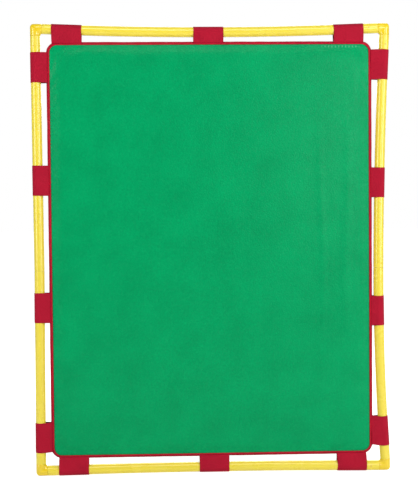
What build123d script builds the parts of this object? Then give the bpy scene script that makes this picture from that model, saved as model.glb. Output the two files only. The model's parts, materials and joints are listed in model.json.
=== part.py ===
"""A padded vinyl divider panel held by wrap-round straps inside a frame of plastic pipe.

Millimetres, +Z up. The front of the panel faces -Y. The origin is on the floor, under the
middle of the frame. Every side of the frame is built flat in its own local frame, where
local X runs along the pipe, local Y points inwards to the panel and local Z points to the rear.
"""
import os
from math import acos, atan, atan2, cos, hypot, pi, radians, sin, sqrt, tan

from build123d import *

# ---- pipe frame ----------------------------------------------------------------------------
FRAME_WIDTH = 1199.0        # outside to outside
FRAME_HEIGHT = 1511.0
PIPE_R = 16.7               # one-inch nominal pipe
PIPE_WALL = 3.4
BORE_R = PIPE_R - PIPE_WALL
ELBOW_REACH = 23.0          # corner axis to the elbow's end face
ELBOW_CORNER_R = 9.0        # rounding of the elbow's outer corner
SPIGOT_R = BORE_R - 0.1     # sliding fit inside the pipe
SPIGOT_BORE_R = 10.0
ELBOW_BORE_R = 9.0
SPIGOT_LENGTH = 45.0
SPIGOT_ROOT = 1.5           # how far the spigot runs into the elbow's body
COUPLING_R = BORE_R - 0.25
COUPLING_HALF = 35.0        # half length of the hidden coupling
END_TRIM = 3.0              # straight run past a pipe's end that is cut off square
OVERCUT = 1.0               # how far a cutting shape runs past what it cuts
JOINT_HEIGHT = 690.0        # seam between the two lengths of each upright
JOINT_GAP = 0.3

# How far each rail is drawn inwards, where its peak lies, and its lean there in degrees. The left
# upright is two straight lengths that meet at a slight angle; every other rail is bent in arcs.
HALF_W = FRAME_WIDTH / 2 - PIPE_R
HALF_H = FRAME_HEIGHT / 2 - PIPE_R
MID_Z = FRAME_HEIGHT / 2
JOINT_BELOW_MIDDLE = MID_Z - JOINT_HEIGHT
RAILS = {
    "top": {"bow": 12.0, "peak": 0.0, "lean": 0.0, "half": HALF_W, "bent": True},
    "bottom": {"bow": 4.8, "peak": 0.0, "lean": 0.0, "half": HALF_W, "bent": True},
    "left": {"bow": 3.5, "peak": -JOINT_BELOW_MIDDLE, "lean": 0.0, "half": HALF_H, "bent": False},
    "right": {"bow": 21.3, "peak": JOINT_BELOW_MIDDLE, "lean": 0.25, "half": HALF_H, "bent": True},
}
REAR = (0, 1, 0)
SIDES = {
    "top": Plane((0, 0, MID_Z + HALF_H), x_dir=(1, 0, 0), z_dir=REAR),
    "bottom": Plane((0, 0, MID_Z - HALF_H), x_dir=(-1, 0, 0), z_dir=REAR),
    "left": Plane((-HALF_W, 0, MID_Z), x_dir=(0, 0, 1), z_dir=REAR),
    "right": Plane((HALF_W, 0, MID_Z), x_dir=(0, 0, -1), z_dir=REAR),
}
# Each elbow joins the end of one side to the start of the next, going clockwise from the front
CORNERS = {
    "elbow_top_left": ("left", "top"),
    "elbow_top_right": ("top", "right"),
    "elbow_bottom_right": ("right", "bottom"),
    "elbow_bottom_left": ("bottom", "left"),
}

# ---- rivets through pipe and spigot --------------------------------------------------------
RIVET_R = 1.6
RIVET_HEAD_R = 2.4
RIVET_HEAD_HEIGHT = 0.9
RIVET_SUNK = 0.2            # head let into the curve of the pipe
RIVET_DOME = 0.6            # rounding of the head's rim, as a share of its height
RIVET_LENGTH = 6.0
# side, which end, distance from the corner axis, degrees round the pipe from the front
RIVETS = [
    ("left", 1, 57.0, 18.0),
    ("top", -1, 38.0, 180.0),
    ("top", 1, 54.0, 5.0),
    ("right", -1, 55.0, 12.0),
    ("right", 1, 54.0, 180.0),
    ("bottom", -1, 51.0, 0.0),
    ("bottom", 1, 54.0, 180.0),
    ("left", -1, 50.0, 180.0),
]

# ---- padded panel --------------------------------------------------------------------------
FACE_WIDTH = 1065.0         # green face, inside the piping
FACE_HEIGHT = 1371.0
FACE_CORNER_R = 25.0
PANEL_SHIFT_X = -4.0        # the panel hangs a little left of and below the frame's middle
PANEL_SHIFT_Z = -1.0
PANEL_HALF = 10.0           # half the padded thickness, covers included
COVER = 1.0
PIPING_R = 2.3
PIPING_OUT = 2.4            # piping axis, outside the face's outline
BAND_OUT = 10.0             # width of the red boxing round the face
BAND_HALF = 7.0
BAND_EDGE_R = 6.0
PIPING_CLEARANCE = 0.05
PIPING_Y = BAND_HALF + PIPING_R + PIPING_CLEARANCE

# ---- straps --------------------------------------------------------------------------------
STRAP_WIDTH = 101.6
STRAP = 1.2                 # fabric thickness
WRAP_CLEARANCE = 0.15
STRAP_R = PIPE_R + WRAP_CLEARANCE + STRAP / 2           # middle of the fabric where it wraps the pipe
STRAP_SEAM_OUT = 5.3        # where the strap leaves the seam, outside the face's outline
STRAP_SEAM_TRIM = 5.0
STRAP_SEAM_RUN = 4.0        # fabric past the seam, before it is trimmed back
STRAP_LIFT = 0.9            # clear of the boxing at the seam, for the straps on leaning pipe
STRAP_SEAM_Y = -(BAND_HALF + STRAP_LIFT + STRAP / 2)
HINGE_GAP = 1.6             # bare fabric each side of the line the tail folds about
TAIL_OVERLAP = 21.0         # tail past the panel's outer edge
TAIL_BEND = 3.0             # the tail lies flat from here inwards, measured the same way
PATCH = 1.0                 # hook patch and loop patch thickness
PATCH_GAP = 0.3
TAIL_Y = PANEL_HALF + PATCH + PATCH_GAP + PATCH + STRAP / 2
HOOK_WIDTH = 92.0
HOOK_DEPTH = 7.0
HOOK_INSET = 0.6            # from the tail's free end
LOOP_WIDTH = 97.0
LOOP_DEPTH = 13.0
LOOP_INSET = 0.6            # from the face's outline
# strap name: side, distance of its middle from the frame's middle along X or Z
STRAPS = {
    "top_left": ("top", -479.0),
    "top_middle": ("top", -8.0),
    "top_right": ("top", 461.0),
    "bottom_left": ("bottom", -472.0),
    "bottom_middle": ("bottom", 1.0),
    "bottom_right": ("bottom", 468.0),
    "left_upper": ("left", 611.0),
    "left_mid_upper": ("left", 236.0),
    "left_mid_lower": ("left", -189.0),
    "left_lower": ("left", -626.0),
    "right_upper": ("right", 617.0),
    "right_mid_upper": ("right", 222.0),
    "right_mid_lower": ("right", -210.0),
    "right_lower": ("right", -619.0),
}


# ---- rails ---------------------------------------------------------------------------------
def rail_end(side):
    """Distance along the side, from its middle, at which the pipe meets the elbow."""
    return RAILS[side]["half"] - ELBOW_REACH


def rail_circle(side, towards):
    """Centre and signed radius of the arc from the rail's peak to one end (towards is 1 or -1)."""
    rail = RAILS[side]
    lean = radians(rail["lean"])
    run = towards * rail_end(side) - rail["peak"]
    drop = -rail["bow"]
    turn = atan2(drop, run) - lean if run > 0 else atan2(-drop, -run) - lean
    radius = hypot(run, drop) / (2 * sin(turn)) * towards
    return rail["peak"] - radius * sin(lean), rail["bow"] + radius * cos(lean), radius


def rail_at(side, along):
    """Inward offset and lean in radians of the rail's axis at a distance along the side."""
    rail = RAILS[side]
    towards = 1 if along >= rail["peak"] else -1
    if not rail["bent"]:
        slope = -rail["bow"] / (towards * rail_end(side) - rail["peak"])
        return rail["bow"] + slope * (along - rail["peak"]), atan(slope)
    centre_x, centre_y, radius = rail_circle(side, towards)
    step = (along - centre_x) / radius
    offset = centre_y - radius * sqrt(1 - step * step)
    return offset, atan((along - centre_x) / (centre_y - offset))


def rail_plane(side, along):
    """Local frame on the rail's axis, with X along the rail there and Y inwards."""
    offset, lean = rail_at(side, along)
    return Plane((along, offset, 0), x_dir=(cos(lean), sin(lean), 0), z_dir=(0, 0, 1))


def pipe(side, low, high):
    """The stretch of a bowed rail between two distances along its side, cut square to the side."""
    def point(along):
        return (along, rail_at(side, along)[0], 0)

    peak = RAILS[side]["peak"]
    stops = [low] + [peak] * (low < peak < high) + [high]
    if RAILS[side]["bent"]:
        runs = [ThreePointArc(point(a), point((a + b) / 2), point(b)) for a, b in zip(stops, stops[1:])]
    else:
        runs = [Line(point(a), point(b)) for a, b in zip(stops, stops[1:])]
    lead_in = Line(runs[0] @ 0 - (runs[0] % 0) * END_TRIM, runs[0] @ 0)
    lead_out = Line(runs[-1] @ 1, runs[-1] @ 1 + (runs[-1] % 1) * END_TRIM)
    path = Wire([lead_in, *runs, lead_out])
    start = Plane(path @ 0, z_dir=path % 0)
    tube = sweep(start * (Circle(PIPE_R) - Circle(BORE_R)), path=path)
    block = Box(2 * PIPE_R, 4 * PIPE_R, 4 * PIPE_R)
    return tube - Pos(low - PIPE_R, point(low)[1], 0) * block - Pos(high + PIPE_R, point(high)[1], 0) * block


# ---- elbows, couplings and rivets ----------------------------------------------------------
def rod_along(side, first, last, radius):
    """A straight rod on the chord of the rail's axis between two distances along its side."""
    ends = [Vector(along, rail_at(side, along)[0], 0) for along in (first, last)]
    seat = Plane((ends[0] + ends[1]) / 2, z_dir=ends[1] - ends[0])
    return seat.location * Cylinder(radius, (ends[1] - ends[0]).length)


def elbow_body():
    """Mitred corner of two equal cylinders, local X and Y arms, with a rounded outer corner."""
    reach = ELBOW_REACH
    length = reach + PIPE_R
    arm_x = Pos((reach - PIPE_R) / 2, 0, 0) * Rot(0, 90, 0) * Cylinder(PIPE_R, length)
    arm_y = Pos(0, (reach - PIPE_R) / 2, 0) * Rot(90, 0, 0) * Cylinder(PIPE_R, length)
    low, high = -PIPE_R - OVERCUT, reach + OVERCUT
    below = extrude(Polygon((low, low), (high, low), (high, high), align=None), PIPE_R + OVERCUT, both=True)
    above = extrude(Polygon((low, low), (high, high), (low, high), align=None), PIPE_R + OVERCUT, both=True)
    corner = (arm_x & below) + (arm_y & above)
    square = Pos((reach - PIPE_R) / 2, (reach - PIPE_R) / 2) * Rectangle(length, length)
    outer = square.vertices().sort_by_distance((-PIPE_R, -PIPE_R, 0))[0]
    return corner & extrude(fillet(outer, ELBOW_CORNER_R), PIPE_R + OVERCUT, both=True)


def elbow_bores():
    """The hollow of the corner: two crossing bores that reach the elbow's end faces."""
    length = ELBOW_REACH + ELBOW_BORE_R + SPIGOT_ROOT
    middle = length / 2 - ELBOW_BORE_R
    along_x = Pos(middle, 0, 0) * Rot(0, 90, 0) * Cylinder(ELBOW_BORE_R, length)
    return along_x + Pos(0, middle, 0) * Rot(90, 0, 0) * Cylinder(ELBOW_BORE_R, length)


def make_elbow(name, rivets):
    """Corner fitting: flush body, and a spigot that runs up inside each pipe."""
    before, after = CORNERS[name]
    start = SIDES[after]
    seat = Plane(start.from_local_coords(Vector(-RAILS[after]["half"], 0, 0)), start.x_dir, REAR)
    body = seat.location * elbow_body()
    hollow = seat.location * elbow_bores()
    for side, towards in ((before, 1), (after, -1)):
        root = towards * (rail_end(side) + SPIGOT_ROOT)
        tip = towards * (rail_end(side) - SPIGOT_LENGTH)
        past = towards * (rail_end(side) - SPIGOT_LENGTH - OVERCUT)
        body += SIDES[side].location * rod_along(side, root, tip, SPIGOT_R)
        hollow += SIDES[side].location * rod_along(side, root, past, SPIGOT_BORE_R)
    return body - hollow - [rivet for place, rivet in rivets if place[0] in (before, after)]


def make_rail(side, low, high, rivets):
    return SIDES[side].location * pipe(side, low, high) - [r for place, r in rivets if place[0] == side]


def make_couplings():
    """Short inner sleeves that join the two lengths of each upright."""
    rings = []
    for side in ("left", "right"):
        ends = RAILS[side]["peak"] - COUPLING_HALF, RAILS[side]["peak"] + COUPLING_HALF
        ring = rod_along(side, *ends, COUPLING_R) - rod_along(side, *ends, SPIGOT_BORE_R)
        rings.append(SIDES[side].location * ring)
    return rings


def make_rivets():
    """Small dome-headed rivets, each through the pipe wall and the spigot inside it."""
    rivets = []
    for place in RIVETS:
        side, towards, reach, turn = place
        seat = rail_plane(side, towards * (RAILS[side]["half"] - reach))
        shank = Pos(0, 0, PIPE_R - RIVET_LENGTH / 2) * Cylinder(RIVET_R, RIVET_LENGTH)
        head_middle = PIPE_R + RIVET_HEAD_HEIGHT / 2 - RIVET_SUNK
        head = Pos(0, 0, head_middle) * Cylinder(RIVET_HEAD_R, RIVET_HEAD_HEIGHT)
        head = fillet(head.edges().sort_by(Axis.Z)[-1], RIVET_HEAD_HEIGHT * RIVET_DOME)
        aim = seat.location * Rot(180 - turn, 0, 0)
        rivets.append((place, SIDES[side].location * aim * (shank + head)))
    return rivets


# ---- panel ---------------------------------------------------------------------------------
PANEL_MIDDLE = Pos(PANEL_SHIFT_X, 0, MID_Z + PANEL_SHIFT_Z)
UPRIGHT = PANEL_MIDDLE * Rot(90, 0, 0)          # flat outline to upright, its +Z to the front


def outline(out):
    """Rounded rectangle at a distance outside the face's outline."""
    return RectangleRounded(FACE_WIDTH + 2 * out, FACE_HEIGHT + 2 * out, FACE_CORNER_R + out)


def sheet(out, low, high):
    """An upright plate with that outline between two depths, low being nearer the front."""
    return UPRIGHT * Pos(0, 0, -high) * extrude(outline(out), high - low)


def make_band():
    """The boxing strip: a ring round the foam with its two outer edges rounded."""
    ring = extrude(outline(BAND_OUT), BAND_HALF, both=True)
    top, bottom = ring.faces().sort_by(Axis.Z)[-1], ring.faces().sort_by(Axis.Z)[0]
    ring = fillet(top.edges() + bottom.edges(), BAND_EDGE_R)
    return UPRIGHT * (ring - extrude(outline(0), BAND_HALF + OVERCUT, both=True))


def make_piping():
    """A round welt along the front seam and another along the rear seam."""
    welts = []
    for depth in (-PIPING_Y, PIPING_Y):
        path = (Pos(0, 0, depth) * outline(PIPING_OUT)).wire()
        start = Plane(path @ 0, z_dir=path % 0)
        welts.append(UPRIGHT * sweep(start * Circle(PIPING_R), path=path))
    return welts


# ---- straps --------------------------------------------------------------------------------
def panel_edge(side):
    """Distance from the side's axis line inwards to the outline of the face."""
    shift = {"top": PANEL_SHIFT_Z, "bottom": -PANEL_SHIFT_Z, "left": -PANEL_SHIFT_X, "right": PANEL_SHIFT_X}
    span = FACE_HEIGHT if side in ("top", "bottom") else FACE_WIDTH
    half = HALF_H if side in ("top", "bottom") else HALF_W
    return half - shift[side] - span / 2


def strap_place(name):
    """The strap's side, its local frame on the rail, and the face outline's distance there."""
    side, where = STRAPS[name]
    along = where * (SIDES[side].x_dir.X + SIDES[side].x_dir.Z)
    seat = rail_plane(side, along)
    edge = (panel_edge(side) - seat.origin.Y) / seat.y_dir.Y
    return side, seat, edge


def tangent_angle(reach, depth, towards):
    """Direction, in radians, of the point where a line from (reach, depth) grazes the wrap."""
    return atan2(depth, reach) + towards * acos(STRAP_R / hypot(reach, depth))


def on_wrap(angle, radius):
    return (radius * cos(angle), radius * sin(angle))


def across(side, seat, profile, width):
    """Extrude a profile, drawn with X inwards and Y to the rear, along the strap's width."""
    section = Plane((0, 0, 0), x_dir=(0, 1, 0), z_dir=(1, 0, 0))
    solid = extrude(section * profile, width / 2, both=True)
    return SIDES[side].location * seat.location * solid


def tail_line(edge):
    """Where the tail starts to fold, where it bends over the panel, and its free end."""
    bend = (edge - BAND_OUT + TAIL_BEND, TAIL_Y)
    angle = tangent_angle(*bend, 1)
    return angle, bend, (edge - BAND_OUT + TAIL_OVERLAP, TAIL_Y)


def make_strap(name):
    """The fixed length: from the panel's front seam, round the outside of the pipe, to its rear."""
    side, seat, edge = strap_place(name)
    seam = (edge - STRAP_SEAM_OUT, STRAP_SEAM_Y)
    front = tangent_angle(*seam, -1)
    rear = tail_line(edge)[0] + HINGE_GAP / STRAP_R
    middle = (front + rear) / 2 - pi if rear > front else (front + rear) / 2
    inner, outer = STRAP_R - STRAP / 2, STRAP_R + STRAP / 2
    past = (seam[0] + STRAP_SEAM_RUN * sin(-front), seam[1] + STRAP_SEAM_RUN * cos(front))
    in_line = [(past[0] + k * cos(front), past[1] + k * sin(front)) for k in (-STRAP / 2, STRAP / 2)]
    rim = [
        Line(in_line[0], on_wrap(front, inner)),
        ThreePointArc(on_wrap(front, inner), on_wrap(middle, inner), on_wrap(rear, inner)),
        Line(on_wrap(rear, inner), on_wrap(rear, outer)),
        ThreePointArc(on_wrap(rear, outer), on_wrap(middle, outer), on_wrap(front, outer)),
        Line(on_wrap(front, outer), in_line[1]),
        Line(in_line[1], in_line[0]),
    ]
    wrap = across(side, seat, make_face(rim), STRAP_WIDTH)
    out = 2 * STRAP_SEAM_TRIM
    return wrap - PANEL_MIDDLE * Box(FACE_WIDTH + out, 6 * PANEL_HALF, FACE_HEIGHT + out)


def make_tail(name):
    """The loose end: from the fold behind the pipe to its free end on the back of the panel."""
    side, seat, edge = strap_place(name)
    angle, bend, end = tail_line(edge)
    slope = (sin(angle), -cos(angle))
    pivot = on_wrap(angle, STRAP_R)
    start = (pivot[0] + HINGE_GAP * slope[0], pivot[1] + HINGE_GAP * slope[1])
    half, ease = STRAP / 2, STRAP / 2 * tan((pi / 2 - angle) / 2)
    across_start = (half * cos(angle), half * sin(angle))
    profile = Polygon(
        (start[0] - across_start[0], start[1] - across_start[1]),
        (bend[0] - ease, bend[1] - half),
        (end[0], end[1] - half),
        (end[0], end[1] + half),
        (bend[0] + ease, bend[1] + half),
        (start[0] + across_start[0], start[1] + across_start[1]),
        align=None,
    )
    return across(side, seat, profile, STRAP_WIDTH)


def make_hook(name):
    """Hook patch sewn to the inner face of the tail."""
    side, seat, edge = strap_place(name)
    end = tail_line(edge)[2][0] - HOOK_INSET
    middle = TAIL_Y - STRAP / 2 - PATCH / 2
    profile = Pos(end - HOOK_DEPTH / 2, middle) * Rectangle(HOOK_DEPTH, PATCH)
    return across(side, seat, profile, HOOK_WIDTH)


def make_loop(name):
    """Loop patch sewn to the back cover under the hook patch, square to its edge and inside its outline."""
    side, seat, edge = strap_place(name)
    square = Plane((seat.origin.X, 0, 0), x_dir=(1, 0, 0), z_dir=(0, 0, 1))
    middle = panel_edge(side) + LOOP_INSET + LOOP_DEPTH / 2
    profile = Pos(middle, PANEL_HALF + PATCH / 2) * Rectangle(LOOP_DEPTH, PATCH)
    patch = across(side, square, profile, LOOP_WIDTH)
    return patch & sheet(-LOOP_INSET, PANEL_HALF, PANEL_HALF + PATCH)


def hinge(name):
    """Point and direction, in the part's frame, of the line the strap's tail folds about."""
    side, seat, edge = strap_place(name)
    radial = on_wrap(tail_line(edge)[0], STRAP_R)
    place = SIDES[side].location * seat.location * Pos(0, *radial)
    return place.position, Plane(place).x_dir


# ---- the whole object ----------------------------------------------------------------------
def build():
    rivets = make_rivets()
    nodes = {name: [make_elbow(name, rivets)] for name in CORNERS}
    for side in ("top", "bottom"):
        nodes[side + "_rail"] = [make_rail(side, -rail_end(side), rail_end(side), rivets)]
    for side in ("left", "right"):
        end, peak = rail_end(side), RAILS[side]["peak"]
        first, last = ("lower", "upper") if side == "left" else ("upper", "lower")
        nodes[f"{side}_rail_{first}"] = [make_rail(side, -end, peak - JOINT_GAP / 2, rivets)]
        nodes[f"{side}_rail_{last}"] = [make_rail(side, peak + JOINT_GAP / 2, end, rivets)]
    nodes["rail_couplings"] = make_couplings()
    nodes["spigot_rivets"] = [rivet for place, rivet in rivets]
    nodes["front_cover"] = [sheet(0, -PANEL_HALF, COVER - PANEL_HALF)]
    nodes["back_cover"] = [sheet(0, PANEL_HALF - COVER, PANEL_HALF)]
    nodes["foam_core"] = [sheet(0, COVER - PANEL_HALF, PANEL_HALF - COVER)]
    nodes["edge_band"] = [make_band()]
    nodes["edge_piping"] = make_piping()
    nodes["loop_patches"] = [make_loop(name) for name in STRAPS]
    for name in STRAPS:
        nodes["strap_" + name] = [make_strap(name)]
        nodes["tail_" + name] = [make_tail(name)]
        nodes["hook_" + name] = [make_hook(name)]
    return nodes


os.makedirs("parts", exist_ok=True)
for node, pieces in build().items():
    solids = [solid for piece in pieces for solid in piece.solids()]
    export_step(solids[0] if len(solids) == 1 else Compound(solids), f"parts/{node}.step")
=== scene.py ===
"""Padded vinyl panel held by fabric straps in a frame of yellow pipe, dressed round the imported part.

Metres throughout, in the part's own frame: +Z up, the front faces -Y, and the floor is Z = 0.
"""
import json
from math import acos, atan, atan2, cos, hypot, pi, radians, sin, sqrt

import bpy
import numpy as np
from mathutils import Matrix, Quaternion, Vector


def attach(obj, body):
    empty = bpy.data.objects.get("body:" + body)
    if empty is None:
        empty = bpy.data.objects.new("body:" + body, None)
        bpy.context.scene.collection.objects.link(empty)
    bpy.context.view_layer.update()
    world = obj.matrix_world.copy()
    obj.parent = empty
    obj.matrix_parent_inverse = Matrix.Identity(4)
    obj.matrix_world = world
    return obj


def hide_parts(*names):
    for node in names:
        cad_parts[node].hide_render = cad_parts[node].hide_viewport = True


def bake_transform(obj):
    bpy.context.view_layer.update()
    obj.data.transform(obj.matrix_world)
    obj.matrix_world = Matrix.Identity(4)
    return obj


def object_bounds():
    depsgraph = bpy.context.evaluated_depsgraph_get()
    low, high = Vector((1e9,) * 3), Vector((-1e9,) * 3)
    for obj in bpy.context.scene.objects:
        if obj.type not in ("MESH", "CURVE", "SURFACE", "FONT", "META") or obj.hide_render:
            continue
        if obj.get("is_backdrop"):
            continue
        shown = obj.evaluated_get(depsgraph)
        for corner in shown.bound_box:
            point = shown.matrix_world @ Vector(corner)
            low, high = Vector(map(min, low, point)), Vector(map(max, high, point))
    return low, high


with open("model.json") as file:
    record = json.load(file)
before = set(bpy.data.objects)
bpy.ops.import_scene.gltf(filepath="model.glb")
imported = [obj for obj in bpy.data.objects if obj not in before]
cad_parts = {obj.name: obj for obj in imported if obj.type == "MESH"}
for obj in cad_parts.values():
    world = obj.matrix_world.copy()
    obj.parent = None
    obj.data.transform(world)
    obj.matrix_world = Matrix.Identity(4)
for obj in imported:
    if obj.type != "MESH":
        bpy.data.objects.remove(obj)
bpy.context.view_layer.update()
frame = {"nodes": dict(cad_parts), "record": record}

# ---- sizes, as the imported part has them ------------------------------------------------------
FRAME_WIDTH, FRAME_HEIGHT = 1.199, 1.511
PIPE_R, BORE_R = 0.0167, 0.0133
ELBOW_REACH = 0.023
HALF_W = FRAME_WIDTH / 2 - PIPE_R
HALF_H = FRAME_HEIGHT / 2 - PIPE_R
MID_Z = FRAME_HEIGHT / 2
JOINT_BELOW_MIDDLE, JOINT_GAP = 0.0655, 0.00025
RAILS = {
    "top": {"bow": 0.0120, "peak": 0.0, "lean": 0.0, "half": HALF_W, "bent": True},
    "bottom": {"bow": 0.0048, "peak": 0.0, "lean": 0.0, "half": HALF_W, "bent": True},
    "left": {"bow": 0.0035, "peak": -JOINT_BELOW_MIDDLE, "lean": 0.0, "half": HALF_H, "bent": False},
    "right": {"bow": 0.0213, "peak": JOINT_BELOW_MIDDLE, "lean": 0.25, "half": HALF_H, "bent": True},
}
REAR = np.array((0.0, 1.0, 0.0))
# Each side's middle, the way along it, and the way inwards from it
SIDES = {
    "top": (np.array((0, 0, MID_Z + HALF_H)), np.array((1.0, 0, 0)), np.array((0, 0, -1.0))),
    "bottom": (np.array((0, 0, MID_Z - HALF_H)), np.array((-1.0, 0, 0)), np.array((0, 0, 1.0))),
    "left": (np.array((-HALF_W, 0, MID_Z)), np.array((0, 0, 1.0)), np.array((1.0, 0, 0))),
    "right": (np.array((HALF_W, 0, MID_Z)), np.array((0, 0, -1.0)), np.array((-1.0, 0, 0))),
}
FACE_WIDTH, FACE_HEIGHT, FACE_CORNER_R = 1.065, 1.371, 0.025
PANEL_SHIFT_X, PANEL_SHIFT_Z = -0.004, -0.001
PANEL_X, PANEL_Z = PANEL_SHIFT_X, MID_Z + PANEL_SHIFT_Z
PIPING_R, PIPING_OUT, PIPING_Y = 0.0023, 0.0024, 0.00935
BAND_OUT = 0.010
STRAP_WIDTH, STRAP, STRAP_R = 0.1016, 0.0012, 0.01745
STRAP_SEAM_OUT, STRAP_SEAM_Y = 0.0053, -0.0085
TAIL_OVERLAP, TAIL_BEND, TAIL_Y = 0.021, 0.003, 0.0129
STRAPS = {
    "top_left": ("top", -0.479),
    "top_middle": ("top", -0.008),
    "top_right": ("top", 0.461),
    "bottom_left": ("bottom", -0.472),
    "bottom_middle": ("bottom", 0.001),
    "bottom_right": ("bottom", 0.468),
    "left_upper": ("left", 0.611),
    "left_mid_upper": ("left", 0.236),
    "left_mid_lower": ("left", -0.189),
    "left_lower": ("left", -0.626),
    "right_upper": ("right", 0.617),
    "right_mid_upper": ("right", 0.222),
    "right_mid_lower": ("right", -0.210),
    "right_lower": ("right", -0.619),
}


# ---- rails and panel outline, as functions ---------------------------------------------------
def rail_end(side):
    return RAILS[side]["half"] - ELBOW_REACH


def rail_at(side, along):
    """Inward offset and lean in radians of the rail's axis at a distance along the side."""
    rail = RAILS[side]
    towards = 1 if along >= rail["peak"] else -1
    run, drop = towards * rail_end(side) - rail["peak"], -rail["bow"]
    if not rail["bent"]:
        slope = drop / run
        return rail["bow"] + slope * (along - rail["peak"]), atan(slope)
    lean = radians(rail["lean"])
    turn = atan2(drop, run) - lean if run > 0 else atan2(-drop, -run) - lean
    radius = hypot(run, drop) / (2 * sin(turn)) * towards
    centre_x, centre_y = rail["peak"] - radius * sin(lean), rail["bow"] + radius * cos(lean)
    step = (along - centre_x) / radius
    offset = centre_y - radius * sqrt(1 - step * step)
    return offset, atan((along - centre_x) / (centre_y - offset))


def rail_seat(side, along):
    """Point on the rail's axis, the way along the rail there, and the way inwards."""
    offset, lean = rail_at(side, along)
    origin, ahead, inward = SIDES[side]
    centre = origin + ahead * along + inward * offset
    return centre, ahead * cos(lean) + inward * sin(lean), inward * cos(lean) - ahead * sin(lean)


def face_outline(spacing=0.008, corner_steps=10):
    """Points round the face's outline (X, Z), their outward normals, and distance run."""
    half_w, half_h = FACE_WIDTH / 2 - FACE_CORNER_R, FACE_HEIGHT / 2 - FACE_CORNER_R
    points, normals = [], []
    corners = [(half_w, half_h, 0), (-half_w, half_h, 90),
               (-half_w, -half_h, 180), (half_w, -half_h, 270)]
    for (x, z, start), (next_x, next_z, _) in zip(corners, corners[1:] + corners[:1]):
        for k in range(corner_steps + 1):
            angle = radians(start + 90 * k / corner_steps)
            normals.append((cos(angle), sin(angle)))
            points.append((x + FACE_CORNER_R * cos(angle), z + FACE_CORNER_R * sin(angle)))
        steps = round(hypot(next_x - x, next_z - z) / spacing)
        last, normal = points[-1], normals[-1]
        for k in range(1, steps):
            points.append((last[0] + (next_x - x) * k / steps, last[1] + (next_z - z) * k / steps))
            normals.append(normal)
    points, normals = np.array(points), np.array(normals)
    run = np.cumsum(np.linalg.norm(points - np.roll(points, 1, 0), axis=1))
    return points + (PANEL_X, PANEL_Z), normals, run


def waves(run, total, lengths, seed):
    """Smooth wobble from -1 to 1 that joins up after total, made of waves near the given lengths."""
    draw = np.random.default_rng(seed)
    value = np.zeros_like(run)
    for length in lengths:
        for stretch in (0.83, 1.0, 1.21):
            turns = max(1, round(total / (length * stretch)))
            size = draw.uniform(0.5, 1)
            value += size * np.sin(2 * pi * turns * run / total + draw.uniform(0, 2 * pi))
    return value / (2.2 * len(lengths))


# ---- mesh helpers ----------------------------------------------------------------------------
def mesh_object(name, points, faces, material):
    mesh = bpy.data.meshes.new(name)
    mesh.from_pydata(np.asarray(points, float).tolist(), [], [tuple(f) for f in faces])
    mesh.validate()
    mesh.materials.append(material)
    mesh.shade_smooth()
    ob = bpy.data.objects.new(name, mesh)
    bpy.context.scene.collection.objects.link(ob)
    return ob


def grid_faces(rows, columns, wrap_rows=False, wrap_columns=False, start=0, flip=False):
    """Quads of a grid of points stored row by row."""
    faces = []
    for i in range(rows if wrap_rows else rows - 1):
        for j in range(columns if wrap_columns else columns - 1):
            a, b = i * columns + j, i * columns + (j + 1) % columns
            c, d = ((i + 1) % rows) * columns + (j + 1) % columns, ((i + 1) % rows) * columns + j
            quad = (a, d, c, b) if flip else (a, b, c, d)
            faces.append(tuple(start + q for q in quad))
    return faces


def closed_sheet(upper, lower):
    """Closed skin of two grids of points, one over the other, joined round their edges."""
    rows, columns, _ = upper.shape
    size = rows * columns
    faces = grid_faces(rows, columns) + grid_faces(rows, columns, start=size, flip=True)
    index = np.arange(size).reshape(rows, columns)
    rim = np.concatenate((index[0], index[1:, -1], index[-1, -2::-1], index[-2:0:-1, 0])).tolist()
    faces += [(b, a, a + size, b + size) for a, b in zip(rim, rim[1:] + rim[:1])]
    return np.concatenate((upper.reshape(-1, 3), lower.reshape(-1, 3))), faces


def join_parts(parts):
    """One list of points and faces from several."""
    points, faces, count = [], [], 0
    for part_points, part_faces in parts:
        points.append(np.asarray(part_points))
        faces += [tuple(count + q for q in f) for f in part_faces]
        count += len(part_points)
    return np.concatenate(points), faces


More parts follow.
